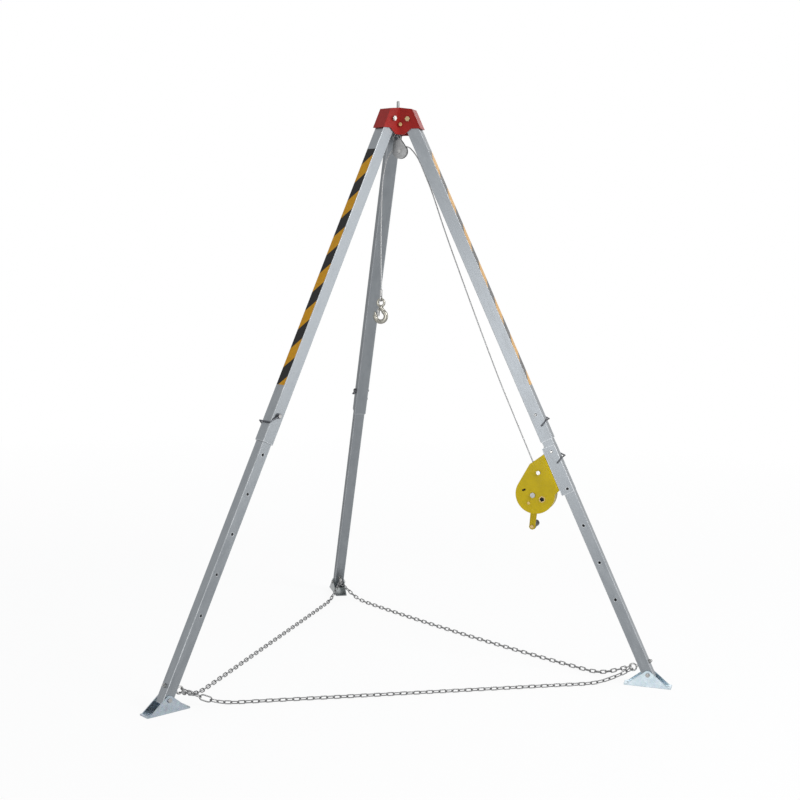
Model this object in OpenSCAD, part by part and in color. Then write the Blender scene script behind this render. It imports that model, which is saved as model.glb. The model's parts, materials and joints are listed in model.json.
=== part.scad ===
// Rescue tripod: three telescopic legs on a steel head, with a hand winch, a pulley, a hook and a foot chain.
// Millimetres, +Z up. The floor is z = 0 and the rear leg points along +Y.

/* [Stance] */
// Height of the leg pivots above the floor
pivot_h = 2085; // [1950:5:2250]
// Lean of each leg from the vertical, in degrees
leg_lean = 25.65; // [23:0.05:28]
// Distance of each leg pivot from the centre line
pivot_r = 48; // [46:0.5:56]

/* [Leg tubes] */
// Outside width of the upper tube
upper_w = 48; // [45:0.5:52]
// Wall of the upper tube
upper_wall = 3; // [2.5:0.1:3.5]
// Length of the upper tube below its pivot
upper_len = 1315; // [1290:5:1325]
// Clearance between the two tubes, on each side
tube_gap = 0.5; // [0.3:0.05:0.8]
// Wall of the lower tube
lower_wall = 3; // [2:0.1:4]
// Corner radius of both tubes
tube_corner = 2; // [1.6:0.1:2.4]
// Distance of the leg lock pin from the pivot
pin_s = 1210; // [1195:5:1215]
// Spacing of the holes along the lower tube
hole_pitch = 150; // [145:1:155]
// Spare holes of the lower tube above the lock pin
holes_above = 2; // [2:1:3]
// Holes of the lower tube below the lock pin
holes_below = 5; // [5:1:5]
// Length of lower tube above its top hole
tube_top_margin = 40; // [25:1:60]
// Length of lower tube past the foot bolt
tube_end_margin = 20; // [16:1:24]

/* [Warning tape] */
// Start of the warning tape, measured along the leg from the pivot
tape_s = 142; // [110:1:180]
// Length of the warning tape
tape_len = 958; // [850:1:980]
// Bare strip between the tape and the tube's rounded corners
tape_inset = 0.5; // [0.2:0.1:2]
// Thickness of the warning tape
tape_t = 0.4; // [0.2:0.1:0.8]

/* [Head] */
// Sheet thickness of the head
head_t = 4; // [3:0.5:5]
// Side clearance between a leg and its pocket
pocket_gap = 1; // [0.6:0.1:1.4]
// Clearance between an open leg and the outer wall
outer_gap = 2.5; // [1:0.5:4]
// Height of the head's rim above the pivots, at the centre
head_rim = 42; // [41:1:50]
// Length of the outer wall above the pivot, along the leg
head_up = 26; // [22:1:30]
// Length of the outer wall below the pivot, along the leg
head_down = 54; // [45:1:65]
// Depth of the tongues between the pockets, below the pivots
tongue_depth = 58; // [52:1:60]
// Room between the rounded leg top and the deck
deck_gap = 3; // [2:0.5:4]
// Thickness of the deck
deck_t = 4; // [3:0.5:5]
// Radius of the hub core
hub_r = 17; // [15:0.5:19]
// Radius of the leg pivot bolts
pivot_bolt_r = 6; // [5:0.5:7]

/* [Eyebolt and pulley] */
// Radius of the central eyebolt's shank
eye_shank_r = 6; // [5:0.5:7]
// Height of the eyebolt's threaded end above the pivots
stud_top = 69; // [64:1:76]
// Depth of the eye's centre below the pivots
eye_depth = 66; // [64:1:72]
// Inner radius of the eye
eye_in_r = 9; // [8:0.5:10]
// Wire radius of the eye
eye_wire_r = 4.5; // [4:0.25:5]
// Distance from the hanging pin to the sheave axle
block_len = 49; // [47:1:54]
// Tilt of the hanging block towards the winch leg, in degrees
block_tilt = 15; // [11:1:17]
// Radius of the pulley cheeks
cheek_r = 28; // [27:0.5:29]
// Thickness of a pulley cheek
cheek_t = 3; // [2:0.5:4]
// Half the gap between the cheeks
cheek_gap = 8; // [7.5:0.25:10]
// Radius of the rope's centre line on the sheave
sheave_r = 24; // [23:0.25:24.5]

/* [Rope and hook] */
// Diameter of the wire rope
rope_d = 5; // [4:0.25:5.5]
// Inner radius of the hook's eye
hook_eye_r = 9; // [8.5:0.25:10]
// Wire radius of the hook's eye
hook_eye_wire = 4.5; // [4:0.25:5]
// Radius of the hook's bowl, at the middle of the bar
hook_bowl_r = 21; // [20:0.5:23]
// Radius of the hook's bar
hook_bar_r = 8.5; // [7.5:0.25:9]
// Distance from the hook's eye to the centre of its bowl
hook_drop = 52; // [51:1:60]

/* [Lock pins] */
// Radius of the lock pins
pin_r = 5; // [4.5:0.1:5.5]
// Clearance of a lock pin in its holes
pin_gap = 0.4; // [0.3:0.05:0.8]
// Wire radius of a pin's bail
bail_wire_r = 2.7; // [2.2:0.1:3]
// Reach of the bail in front of the pin
bail_out = 30; // [29:0.5:34]
// Drop of the bail below the pin
bail_drop = 34; // [30:0.5:36]

/* [Feet and rings] */
// Height of the foot bolt above the floor
foot_bolt_h = 46; // [42:1:52]
// Length of a foot
foot_len = 175; // [150:1:200]
// Sheet thickness of a foot
foot_t = 4; // [3:0.5:5]
// Side clearance between a foot and its tube
foot_gap = 1; // [0.6:0.1:1.4]
// Radius of a foot's rounded top
foot_top_r = 16; // [14:0.5:18]
// Radius of the foot bolts
foot_bolt_r = 5; // [4:0.5:6]
// Radius of the stake holes in the toes
stake_r = 5; // [4:0.25:6]
// Distance of a stake hole from the toe's end
stake_inset = 13; // [12:0.5:18]
// Distance of the chain ring above the foot bolt, along the leg
ring_up = 41; // [39:1:50]
// Distance of the ring's centre from the tube
ring_off = 24; // [23:0.5:28]
// Radius of the ring, at the middle of its wire
ring_r = 13; // [12:0.5:14]
// Wire radius of the ring
ring_wire_r = 3; // [2.6:0.1:3.2]

/* [Chain] */
// Wanted spacing of the chain's links
chain_pitch = 24; // [22:0.5:28]
// Wire diameter of the chain
chain_wire = 4; // [3.4:0.1:4]
// Outside width of a link
link_w = 16; // [15.8:0.1:17]

/* [Winch] */
// Distance of the winch shaft from the leg pivot, along the leg
winch_s = 1484; // [1478:1:1490]
// Distance of the winch shaft from the leg's centre line
winch_u = 131; // [128:0.5:136]
// Start of the saddle along the leg
saddle_s = 1337; // [1332:1:1340]
// Length of the saddle
saddle_len = 191; // [186:1:200]
// Sheet thickness of the saddle's sides
saddle_t = 3; // [2.5:0.1:3.5]
// Thickness of the saddle's web
saddle_web = 4; // [3:0.5:5]
// Half the distance between the winch's side plates
winch_half = 24; // [23.5:0.25:25]
// Thickness of a side plate
plate_t = 3; // [2:0.25:3.5]
// Radius of the round part of a side plate
plate_r = 75; // [74:0.5:80]
// Radius of the drum's flanges
drum_flange_r = 58; // [55:1:58]
// Radius of the drum's core
drum_core_r = 22; // [18:1:24]
// Outer radius of the rope wound on the drum
rope_pack_r = 38; // [36:0.5:40]
// Radius of the drum shaft
shaft_r = 8; // [7:0.25:9]
// Length of the crank arm, from the shaft to the knob
crank_len = 133; // [115:1:134]
// Width of the crank arm
crank_w = 24; // [22:1:28]
// Thickness of the crank arm
crank_t = 5; // [4:0.5:6]
// Angle of the crank arm from the leg's direction, in degrees
crank_turn = 30; // [0:1:45]
// Radius of the crank knob
knob_r = 13; // [11:0.5:15]
// Length of the crank knob
knob_len = 80; // [60:1:85]

/* [Hidden] */
$fn = 48;
eps = 0.01;

// Azimuth of the left, right and rear leg
leg_az = [210, 330, 90];
left = 0;
right = 1;
rear = 2;
// Running clearance of a shaft in its hole
run_gap = 0.08;
// Clearance between faces that pass each other
pass_gap = 0.3;
// Swell of a round bar where it bends or ends
ball_swell = 1.04;

// Leg tubes
lower_w = upper_w - 2 * upper_wall - 2 * tube_gap;
foot_s = (pivot_h - foot_bolt_h) / cos(leg_lean);
foot_r = pivot_r + foot_s * sin(leg_lean);
lower_s0 = pin_s - holes_above * hole_pitch - tube_top_margin;
lower_s1 = foot_s + tube_end_margin;
saddle_pin_s = pin_s + hole_pitch;
pivot_sleeve_wall = 3;
tape_w = upper_w - 2 * tube_corner - 2 * tape_inset;

// The floor box of the feet, which puts the origin at its centre
foot_w = lower_w + 2 * foot_gap + 2 * foot_t;
foot_corner = 5;
toe_r = foot_r + foot_len / 2;
toe_front = (toe_r - foot_corner) / 2 + (foot_w / 2 - foot_corner) * cos(30) + foot_corner;
axis_y = -(toe_r - toe_front) / 2;

// Head
pocket_half = upper_w / 2 + pocket_gap;
head_half = pocket_half + head_t;
wall_d = upper_w / 2 + outer_gap + head_t;
leg_top_r = upper_w / 2;
deck_z = leg_top_r + deck_gap;
valley_x = pocket_half / tan(60);
wall_lip = 0.4;
deck_half = pocket_half + head_t / 2;
wing_skirt = 37;
tongue_w = 21;
boss_r = 8;
boss_end = head_half / sin(60) + 8;
boss_depth = 21;
hub_screw_r = 4;
hub_screw_in = eye_shank_r + 2;
hub_bottom = -40;
bolt_head_h = 7;
washer_h = 2;
stud_r = eye_shank_r - 0.5;
stud_tip = 2;
nut_h = 8;

// Pulley block, in the vertical plane of the right leg
hang_pin_r = 4;
hang_pin = [0, -eye_depth - eye_in_r + hang_pin_r + pass_gap];
sheave_at = hang_pin + block_len * [sin(block_tilt), -cos(block_tilt)];
axle_r = 5;
block_top_r = 10;
sheave_half = cheek_gap - pass_gap;
groove_r = sheave_r - rope_d / 2 - 0.2;
rope_out_angle = 68;
rope_in_angle = 150;

// Rope end and hook, in the same plane
hook_x = -51;
hook_eye_z = -693.5;
rope_eye_r = 10;
rope_eye_z = hook_eye_z + hook_eye_r - rope_d / 2 - pass_gap + rope_eye_r;
ferrule_r = 5;
ferrule_len = 24;
ferrule_z = rope_eye_z + rope_eye_r;
bowl_at = [hook_x, hook_eye_z - hook_drop];
bowl_start = 55;
bowl_end = -178;
hook_tip_len = 14;
hook_tip_r = 4.5;
hook_tip_angle = 97;
latch_pin_r = 2;
latch_lug_r = 4.5;
latch_tip_r = 2.5;
latch_t = 2;
latch_lug_half = 3;
latch_half = latch_lug_half + pass_gap + latch_t;
latch_below = 9;
latch_pivot = [hook_x - 9, hook_eye_z - hook_eye_r - 2 * hook_eye_wire - latch_below];

// Lock pins
pin_half = upper_w / 2;
pin_flange_t = 2.7;
pin_cap_t = 2.5;
bail_eye_r = pin_r - 0.8;
bail_eye_t = 2 * bail_wire_r;
bail_y = pin_half + pass_gap + pin_flange_t + pass_gap / 2 + bail_eye_t / 2;
pin_tip = pin_half + 8;
bail_tail = [5, -bail_drop - 12];

// Chain rings
ring_s = foot_s - ring_up;
ring_x = -lower_w / 2 - ring_off;
ring_shank_r = 4;
ring_grip = 25;

// Winch, in the frame of the right leg
saddle_in = lower_w / 2 + tube_gap;
saddle_half = saddle_in + saddle_t;
saddle_room = 5;
saddle_back = saddle_in + saddle_room + saddle_web;
flange_t = 4;
// Bend of the side plates at the saddle
plate_bend = 8;
flange_s0 = saddle_s + 21;
flange_s1 = winch_s + 21;
plate_round_u = winch_u - 10;
plate_nose_r = 14;
plate_nose = [winch_u - 43, winch_s - 100];
tie_at = [winch_u - 54, winch_s - 70];
tie_r = 5;
roller_r = 7;
window_at = [winch_u - 26, winch_s + 28];
window_r = 8.5;
slot_at = [winch_u + 24, winch_s - 31];
slot_r = 4;
slot_half = 3.5;
rivet_at = [winch_u + 27, winch_s + 22];
rivet_r = 4;
band_t = 2;
band_top_s = winch_s - 40;
drum_half = winch_half - 3.5;
drum_flange_t = 2.5;
ratchet_t = 2.4;
ratchet_r = 28;
ratchet_teeth = 12;
ratchet_y = drum_half + pass_gap;
pawl_at = [-20, 36];
pawl_pin_r = 4;
crank_y = winch_half + plate_t + 9;
knob_gap = 1;
knob_axle_r = 4;

// Chain
link_in_w = link_w - 2 * chain_wire;
link_play = 0.5;
// The first and last link of a run go round a ring's wire, so they are wider than the others
end_in_w = 13;
// From the centre of the ring's wire to the inner end of the link on it, on its upper and lower side
hold_up = 5.5;
hold_down = 7;
chain_twist = 35;
chain_twist_links = 6;
chain_floor = (link_w - chain_wire) / 2 * cos(chain_twist) + chain_wire / 2 + 0.3;
quick_index = 3;
quick_in_len = 38;
quick_in_w = 17;
quick_wire = 5;
// Sideways bow of the runs on the floor, inwards: front, rear right, rear left
chain_bow = [0, 38, 0];
// One end of a chain run: distance along the run, bow outwards, share of the ring's height
chain_end = [
    [0, 0, 1], [24, 3, 0.8], [48, 4, 0.6], [75, 4, 0.4], [105, 3, 0.2], [140, 2, 0.06], [180, 1, 0],
];

rope_sides = 8;
// Space between the two runs, where they part on the sheave
rope_break = 1;
// Rings in one turn of the rope on the drum, the gap between turns and their room at the flanges
turn_rings = 24;
winding_gap = 0.5;
wind_margin = 0.5;
// Rope from the pulley to the winch: distance along the leg, distance inside its centre line
winch_rope = [
    [90, 49], [100, 42], [122, 35], [155, 30], [210, 30], [289, 33], [389, 42], [475, 49], [600, 57],
    [750, 66], [900, 74], [1037, 80], [1119, 82], [1250, 84], [1369, 86], [1414, 87.6],
];
// Rope from the pulley to the hook: distance from the centre line, height from the pivots
hook_rope = [
    [-20, -117], [-31, -132], [-42, -158], [-50, -195], [-55, -240], [-57, -300], [-57, -380],
    [-56, -460], [-54, -540], [-52, -590],
];

// Helpers
function dir2(a) = [cos(a), sin(a)];

function leg_point(k, p) = let (
    x = pivot_r + p.x * cos(leg_lean) - p.z * sin(leg_lean),
    z = pivot_h + p.x * sin(leg_lean) + p.z * cos(leg_lean)
) [x * cos(leg_az[k]) - p.y * sin(leg_az[k]), axis_y + x * sin(leg_az[k]) + p.y * cos(leg_az[k]), z];

function sum_to(v, i) = i < 0 ? 0 : v[i] + sum_to(v, i - 1);

function spline(p0, p1, p2, p3, t) =
    (2 * p1 + (p2 - p0) * t + (2 * p0 - 5 * p1 + 4 * p2 - p3) * t * t
        + (3 * p1 - p0 - 3 * p2 + p3) * t * t * t) / 2;

function smooth(p, steps) = let (n = len(p)) concat(
    [
        for (i = [0:n - 2]) for (j = [0:steps - 1])
            spline(p[max(i - 1, 0)], p[i], p[i + 1], p[min(i + 2, n - 1)], j / steps)
    ],
    [p[n - 1]]
);

module at_wing(k)
    translate([0, axis_y, pivot_h]) rotate([0, 0, leg_az[k]]) translate([pivot_r, 0, 0]) children();
module at_leg(k) at_wing(k) rotate([0, -leg_lean, 0]) children();
module at_foot(k)
    translate([0, axis_y, foot_bolt_h]) rotate([0, 0, leg_az[k]]) translate([foot_r, 0, 0]) children();
module at_hoist() translate([0, axis_y, pivot_h]) rotate([0, 0, leg_az[right]]) children();
module at_winch(p) at_leg(right) translate([-p.x, 0, -p.y]) children();

module rod_y(r, y0, y1) translate([0, y1, 0]) rotate([90, 0, 0]) cylinder(r = r, h = y1 - y0);
module slab_y(y0, y1) translate([0, y1, 0]) rotate([90, 0, 0]) linear_extrude(y1 - y0) children();
module hex_y(r, y0, y1) rod_y(r, y0, y1, $fn = 6);

module rod(p, q, r) {
    d = q - p;
    translate(p) rotate([0, acos(d.z / norm(d)), atan2(d.y, d.x)]) cylinder(r = r, h = norm(d));
}

module cone(p, rp, q, rq) {
    d = q - p;
    translate(p) rotate([0, acos(d.z / norm(d)), atan2(d.y, d.x)]) cylinder(r1 = rp, r2 = rq, h = norm(d));
}

module rounded(w, h, r) {
    square([w - 2 * r, h], center = true);
    square([w, h - 2 * r], center = true);
    for (x = [-1, 1], y = [-1, 1]) translate([x * (w / 2 - r), y * (h / 2 - r)]) circle(r);
}

// Outline round two circles
module belt(p, rp, q, rq) {
    a = atan2(q.y - p.y, q.x - p.x);
    b = acos((rp - rq) / norm(q - p));
    translate(p) circle(rp);
    translate(q) circle(rq);
    polygon([p + rp * dir2(a + b), p + rp * dir2(a - b), q + rq * dir2(a - b), q + rq * dir2(a + b)]);
}

// Outline from a circle to a point
module wedge(c, r, p) {
    a = atan2(p.y - c.y, p.x - c.x);
    b = acos(r / norm(p - c));
    translate(c) circle(r);
    polygon([p, c + r * dir2(a + b), c, c + r * dir2(a - b)]);
}

module square_tube(w, wall, corner, z0, z1) translate([0, 0, z0]) linear_extrude(z1 - z0) difference() {
    rounded(w, w, corner);
    rounded(w - 2 * wall, w - 2 * wall, max(corner - wall, 0.5));
}

// Ring in the XZ plane
module ring_y(r, wire_r) rotate([90, 0, 0]) rotate_extrude() translate([r, 0]) circle(wire_r);

// Round tube along points in space, none of them straight above the last along Y
module rope(points, r, sides) {
    n = len(points);
    rings = [
        for (i = [0:n - 1])
            let (
                along = points[min(i + 1, n - 1)] - points[max(i - 1, 0)],
                t = along / norm(along),
                u = cross([0, 1, 0], t) / norm(cross([0, 1, 0], t)),
                v = cross(t, u)
            )
            for (j = [0:sides - 1]) points[i] + r * cos(360 * j / sides) * u + r * sin(360 * j / sides) * v
    ];
    walls = [
        for (i = [0:n - 2]) for (j = [0:sides - 1])
            let (a = i * sides + j, b = i * sides + (j + 1) % sides)
                each [[a, a + sides, b], [b, a + sides, b + sides]]
    ];
    end = (n - 1) * sides;
    caps = [for (j = [1:sides - 2]) each [[0, j, j + 1], [end, end + j + 1, end + j]]];
    polyhedron(rings, concat(walls, caps));
}

// The same points, lifted from a vertical plane
function lift(points) = [for (p = points) [p.x, 0, p.y]];

// Head
// Place of the outer wall's inner face at a height
function wall_x(z) = (wall_d - head_t - z * sin(leg_lean)) / cos(leg_lean);

// Two cheeks that meet in the valley between two legs, before they are trimmed
module valley_cheeks(k) {
    a = leg_az[k];
    b = a + 120;
    far = pivot_r + wall_d + head_down;
    translate([0, axis_y, pivot_h - tongue_depth]) linear_extrude(head_rim + tongue_depth) polygon([
        pocket_half / sin(60) * dir2(a + 60), far * dir2(a) + pocket_half * dir2(a + 90),
        far * dir2(a) + head_half * dir2(a + 90), head_half / sin(60) * dir2(a + 60),
        far * dir2(b) - head_half * dir2(b + 90), far * dir2(b) - pocket_half * dir2(b + 90),
    ]);
}

// What is cut off the cheeks of one leg: under the skirt, over the rim and past the outer wall
module wing_trim() {
    down = [sin(leg_lean), -cos(leg_lean)];
    face = wall_d * [cos(leg_lean), sin(leg_lean)];
    foot = face + head_down * down;
    skirt = [foot.x - wing_skirt, foot.y];
    tongue = [valley_x - pivot_r + tongue_w, -tongue_depth];
    under = tongue + (tongue - skirt) / 2;
    top = face - head_up * down;
    rim = [head_half / tan(60) + 0.5 - pivot_r, head_rim];
    over = rim - (top - rim) / 2;
    past = top + (top - rim) / 2;
    far = 3 * head_half;
    slab_y(-far, far) {
        polygon([under, skirt, [foot.x + far, foot.y], [foot.x + far, -far], [under.x, -far]]);
        polygon([over, past, [past.x, far], [over.x, far]]);
    }
    rotate([0, -leg_lean, 0]) translate([wall_d - head_t / 2, -far, -far]) cube([far, 2 * far, 2 * far]);
}

module outer_wall() rotate([0, -leg_lean, 0])
    translate([wall_d - head_t, -head_half - wall_lip, -head_down])
        cube([head_t, 2 * head_half + 2 * wall_lip, head_up + head_down]);

// Plate over the three legs, which ends inside the walls
module deck() {
    end = pivot_r + (wall_x(deck_z) + wall_x(deck_z + deck_t) + head_t / cos(leg_lean)) / 2;
    translate([0, axis_y, pivot_h + deck_z]) linear_extrude(deck_t) polygon([
        for (a = leg_az) each [
            end * dir2(a) - deck_half * dir2(a + 90), end * dir2(a) + deck_half * dir2(a + 90),
            deck_half / sin(60) * dir2(a + 60),
        ]
    ]);
}

module valley_frame(k) translate([0, axis_y, pivot_h - boss_depth])
    rotate([0, 0, leg_az[k] + 60]) rotate([0, 90, 0]) rotate([0, 0, 20]) children();

module head_shell() color("firebrick") difference() {
    union() {
        difference() {
            for (k = [0:2]) valley_cheeks(k);
            for (k = [0:2]) at_wing(k) wing_trim();
        }
        for (k = [0:2]) at_wing(k) outer_wall();
        deck();
        for (k = [0:2]) valley_frame(k)
            translate([0, 0, hub_r - 1]) cylinder(r = boss_r, h = boss_end - hub_r + 1);
    }
    for (k = [0:2]) {
        at_wing(k) rod_y(pivot_bolt_r, -2 * head_half, 2 * head_half);
        valley_frame(k) cylinder(r = hub_screw_r, h = 2 * boss_end);
    }
    translate([0, axis_y, pivot_h]) cylinder(r = eye_shank_r, h = 2 * head_rim);
    translate([0, axis_y, pivot_h - boss_depth]) cylinder(r = hub_r, h = 3 * boss_r, center = true);
}

module hub_core() color("dimgray") difference() {
    translate([0, axis_y, pivot_h + hub_bottom]) cylinder(r = hub_r, h = deck_z - hub_bottom);
    translate([0, axis_y, pivot_h - 100]) cylinder(r = eye_shank_r, h = 200);
    for (k = [0:2]) valley_frame(k) translate([0, 0, hub_screw_in]) cylinder(r = hub_screw_r, h = hub_r);
}

module hub_screws() color("silver") for (k = [0:2]) valley_frame(k) {
    translate([0, 0, hub_screw_in]) cylinder(r = hub_screw_r, h = boss_end - hub_screw_in);
    translate([0, 0, boss_end]) cylinder(r = 1.8 * hub_screw_r, h = 5, $fn = 6);
}

module head_eyebolt() color("silver") at_hoist() {
    ring_mid = eye_in_r + eye_wire_r;
    translate([0, 0, -eye_depth]) ring_y(ring_mid, eye_wire_r);
    stud_z = deck_z + deck_t + washer_h + nut_h;
    translate([0, 0, ring_mid - eye_depth]) cylinder(r = eye_shank_r, h = stud_z + eye_depth - ring_mid);
    translate([0, 0, stud_z]) cylinder(r = stud_r, h = stud_top - stud_tip - stud_z);
    translate([0, 0, stud_top - stud_tip]) cylinder(r1 = stud_r, r2 = stud_r - stud_tip, h = stud_tip);
}

module head_nut() color("silver") translate([0, axis_y, pivot_h + deck_z + deck_t]) difference() {
    union() {
        cylinder(r = 2.1 * eye_shank_r, h = washer_h);
        translate([0, 0, washer_h]) cylinder(r = 1.75 * eye_shank_r, h = nut_h, $fn = 6);
    }
    translate([0, 0, -1]) cylinder(r = eye_shank_r, h = nut_h + 4);
}

module pivot_bolts() color("silver") for (k = [0:2]) at_wing(k) {
    rod_y(pivot_bolt_r, -head_half, head_half + nut_h + 3);
    hex_y(1.6 * pivot_bolt_r, -head_half - bolt_head_h, -head_half);
    difference() {
        hex_y(1.6 * pivot_bolt_r, head_half, head_half + nut_h);
        rod_y(pivot_bolt_r, head_half - 1, head_half + nut_h + 1);
    }
}

// Legs
module upper_tube(k) color("lightsteelblue") at_leg(k) difference() {
    union() {
        intersection() {
            square_tube(upper_w, upper_wall, tube_corner, -upper_len, leg_top_r);
            union() {
                rod_y(leg_top_r, -upper_w, upper_w);
                translate([-upper_w, -upper_w, -upper_len]) cube([2 * upper_w, 2 * upper_w, upper_len]);
            }
        }
        rod_y(pivot_bolt_r + pivot_sleeve_wall, -upper_w / 2 + eps, upper_w / 2 - eps);
    }
    rod_y(pivot_bolt_r + run_gap, -upper_w, upper_w);
    translate([0, 0, -pin_s]) rod_y(pin_r + pin_gap, -upper_w, upper_w);
}

module lower_tube(k) color("lightsteelblue") at_leg(k) difference() {
    square_tube(lower_w, lower_wall, tube_corner, -lower_s1, -lower_s0);
    for (i = [-holes_above:holes_below])
        translate([0, 0, -pin_s - i * hole_pitch]) rod_y(pin_r + pin_gap, -lower_w, lower_w);
    translate([0, 0, -foot_s]) rod_y(foot_bolt_r + run_gap, -lower_w, lower_w);
    translate([-lower_w, 0, -ring_s]) rotate([0, 90, 0]) cylinder(r = ring_shank_r, h = 2 * lower_w);
}

module tape(k) color("gold") at_leg(k)
    translate([upper_w / 2, -tape_w / 2, -tape_s - tape_len]) cube([tape_t, tape_w, tape_len]);

module lock_pin() {
    head_y = pin_half + pass_gap;
    rod_y(pin_r, -pin_tip + 2, head_y);
    translate([0, -pin_tip + 2, 0]) rotate([90, 0, 0]) cylinder(r1 = pin_r, r2 = pin_r - 2, h = 2);
    rod_y(1.8 * pin_r, head_y, head_y + pin_flange_t);
    rod_y(bail_eye_r - run_gap, head_y + pin_flange_t, bail_y + bail_eye_t / 2 + pass_gap);
    rod_y(1.4 * pin_r, bail_y + bail_eye_t / 2 + pass_gap, bail_y + bail_eye_t / 2 + pass_gap + pin_cap_t);
}

module bail() {
    corner = [bail_out, -bail_drop];
    start = corner / norm(corner) * (bail_eye_r + bail_wire_r);
    difference() {
        union() {
            rod_y(bail_eye_r + 2 * bail_wire_r, bail_y - bail_eye_t / 2, bail_y + bail_eye_t / 2);
            rod([start.x, bail_y, start.y], [corner.x, bail_y, corner.y], bail_wire_r);
            translate([corner.x, bail_y, corner.y]) sphere(bail_wire_r * ball_swell);
            rod([corner.x, bail_y, corner.y], [corner.x, -bail_y, corner.y], bail_wire_r);
            translate([corner.x, -bail_y, corner.y]) sphere(bail_wire_r * ball_swell);
            rod([corner.x, -bail_y, corner.y], [bail_tail.x, -bail_y, bail_tail.y], bail_wire_r);
            translate([bail_tail.x, -bail_y, bail_tail.y]) sphere(bail_wire_r * ball_swell);
        }
        rod_y(bail_eye_r, 0, 2 * bail_y);
    }
}

module leg_pin(k, s) color("silver") at_leg(k) translate([0, 0, -s]) lock_pin();
module leg_bail(k, s) color("gray") at_leg(k) translate([0, 0, -s]) bail();

module ring_bolt(k) color("silver") at_leg(k) translate([0, 0, -ring_s]) {
    translate([ring_x, 0, 0]) ring_y(ring_r, ring_wire_r);
    translate([ring_x + ring_r, 0, 0]) rotate([0, 90, 0])
        cylinder(r = ring_shank_r, h = lower_w / 2 + 12 - ring_x - ring_r);
    translate([-lower_w / 2 - 3, 0, 0]) rotate([0, 90, 0]) cylinder(r = 2 * ring_shank_r, h = 3);
    translate([lower_w / 2, 0, 0]) rotate([0, 90, 0]) difference() {
        cylinder(r = 1.8 * ring_shank_r, h = 7, $fn = 6);
        translate([0, 0, -1]) cylinder(r = ring_shank_r, h = 9);
    }
}

// Feet
module foot(k) color("gainsboro") at_foot(k) difference() {
    union() {
        translate([0, 0, -foot_bolt_h]) linear_extrude(foot_t) rounded(foot_len, foot_w, foot_corner);
        for (y = [-foot_w / 2, foot_w / 2 - foot_t]) slab_y(y, y + foot_t) {
            toe = foot_len / 2 - foot_corner;
            for (side = [-1, 1]) wedge([0, 0], foot_top_r, [side * toe, -foot_bolt_h]);
            polygon([[-toe, -foot_bolt_h], [toe, -foot_bolt_h], [0, 0]]);
        }
    }
    rod_y(foot_bolt_r, -foot_w, foot_w);
    for (side = [-1, 1])
        translate([side * (foot_len / 2 - stake_inset), 0, -foot_bolt_h - 1])
            cylinder(r = stake_r, h = foot_t + 2);
}

module foot_bolt(k) color("silver") at_foot(k) {
    rod_y(foot_bolt_r, -foot_w / 2 - 8, foot_w / 2);
    hex_y(1.7 * foot_bolt_r, foot_w / 2, foot_w / 2 + 5);
    difference() {
        hex_y(1.7 * foot_bolt_r, -foot_w / 2 - 6, -foot_w / 2);
        rod_y(foot_bolt_r, -foot_w / 2 - 7, -foot_w / 2 + 1);
    }
}

// Winch
module saddle() color("lightsteelblue") at_leg(right) difference() {
    translate([-saddle_back, -saddle_half, -saddle_s - saddle_len])
        cube([saddle_back + lower_w / 2, 2 * saddle_half, saddle_len]);
    translate([-saddle_in - saddle_room, -saddle_in, -saddle_s - saddle_len - 1])
        cube([lower_w + saddle_in + saddle_room, 2 * saddle_in, saddle_len + 2]);
    for (i = [0, 1])
        translate([0, 0, -saddle_pin_s - i * hole_pitch]) rod_y(pin_r + pin_gap, -upper_w, upper_w);
}

module plate_outline() {
    round_at = [-plate_round_u, -winch_s];
    nose = [-plate_nose.x, -plate_nose.y];
    belt(round_at, plate_r, nose, plate_nose_r);
    polygon([
        [-saddle_back, -flange_s0], nose + plate_nose_r * dir2(80), nose, round_at,
        [-plate_round_u + plate_r - 14, -flange_s1 - 12], [-saddle_back, -flange_s1],
    ]);
}

// What a bend leaves off a square corner
module bend_cut() {
    bend = [for (a = [0, 30, 60, 90]) plate_bend * (dir2(a) - [1, 1])];
    polygon(concat([[1, -plate_bend]], bend, [[-plate_bend, 1], [1, 1]]));
}

module winch_plate(side) color("gold") at_leg(right) difference() {
    union() {
        y0 = side > 0 ? winch_half : -winch_half - plate_t;
        slab_y(y0, y0 + plate_t) plate_outline();
        translate([-saddle_back - flange_t, side > 0 ? 1 : -winch_half - plate_t, -flange_s1])
            cube([flange_t, winch_half + plate_t - 1, flange_s1 - flange_s0]);
    }
    translate([-winch_u, 0, -winch_s]) rod_y(shaft_r + run_gap, -60, 60);
    translate([-tie_at.x, 0, -tie_at.y]) rod_y(tie_r, -60, 60);
    translate([-saddle_back, side * (winch_half + plate_t), -flange_s1 - 1])
        linear_extrude(flange_s1 - flange_s0 + 2) scale([1, side]) bend_cut();
    if (side < 0) {
        translate([-window_at.x, 0, -window_at.y]) rod_y(window_r, -60, 0);
        translate([-slot_at.x, 0, -slot_at.y]) {
            for (x = [-slot_half, slot_half]) translate([x, 0, 0]) rod_y(slot_r, -60, 0);
            translate([-slot_half, -60, 0.5 - slot_r]) cube([2 * slot_half, 60, 2 * slot_r - 1]);
        }
        translate([-rivet_at.x, 0, -rivet_at.y]) rod_y(rivet_r, -60, 0);
    } else {
        translate([-winch_u + pawl_at.x, 0, -winch_s - pawl_at.y]) rod_y(pawl_pin_r, 0, 60);
    }
}

module winch_casing() color("gold") at_winch([plate_round_u, winch_s]) difference() {
    rod_y(plate_r - 1, -winch_half, winch_half);
    rod_y(plate_r - 1 - band_t, -winch_half - 1, winch_half + 1);
    translate([-2 * plate_r, -winch_half - 1, winch_s - band_top_s])
        cube([4 * plate_r, 2 * winch_half + 2, 2 * plate_r]);
}

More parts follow.
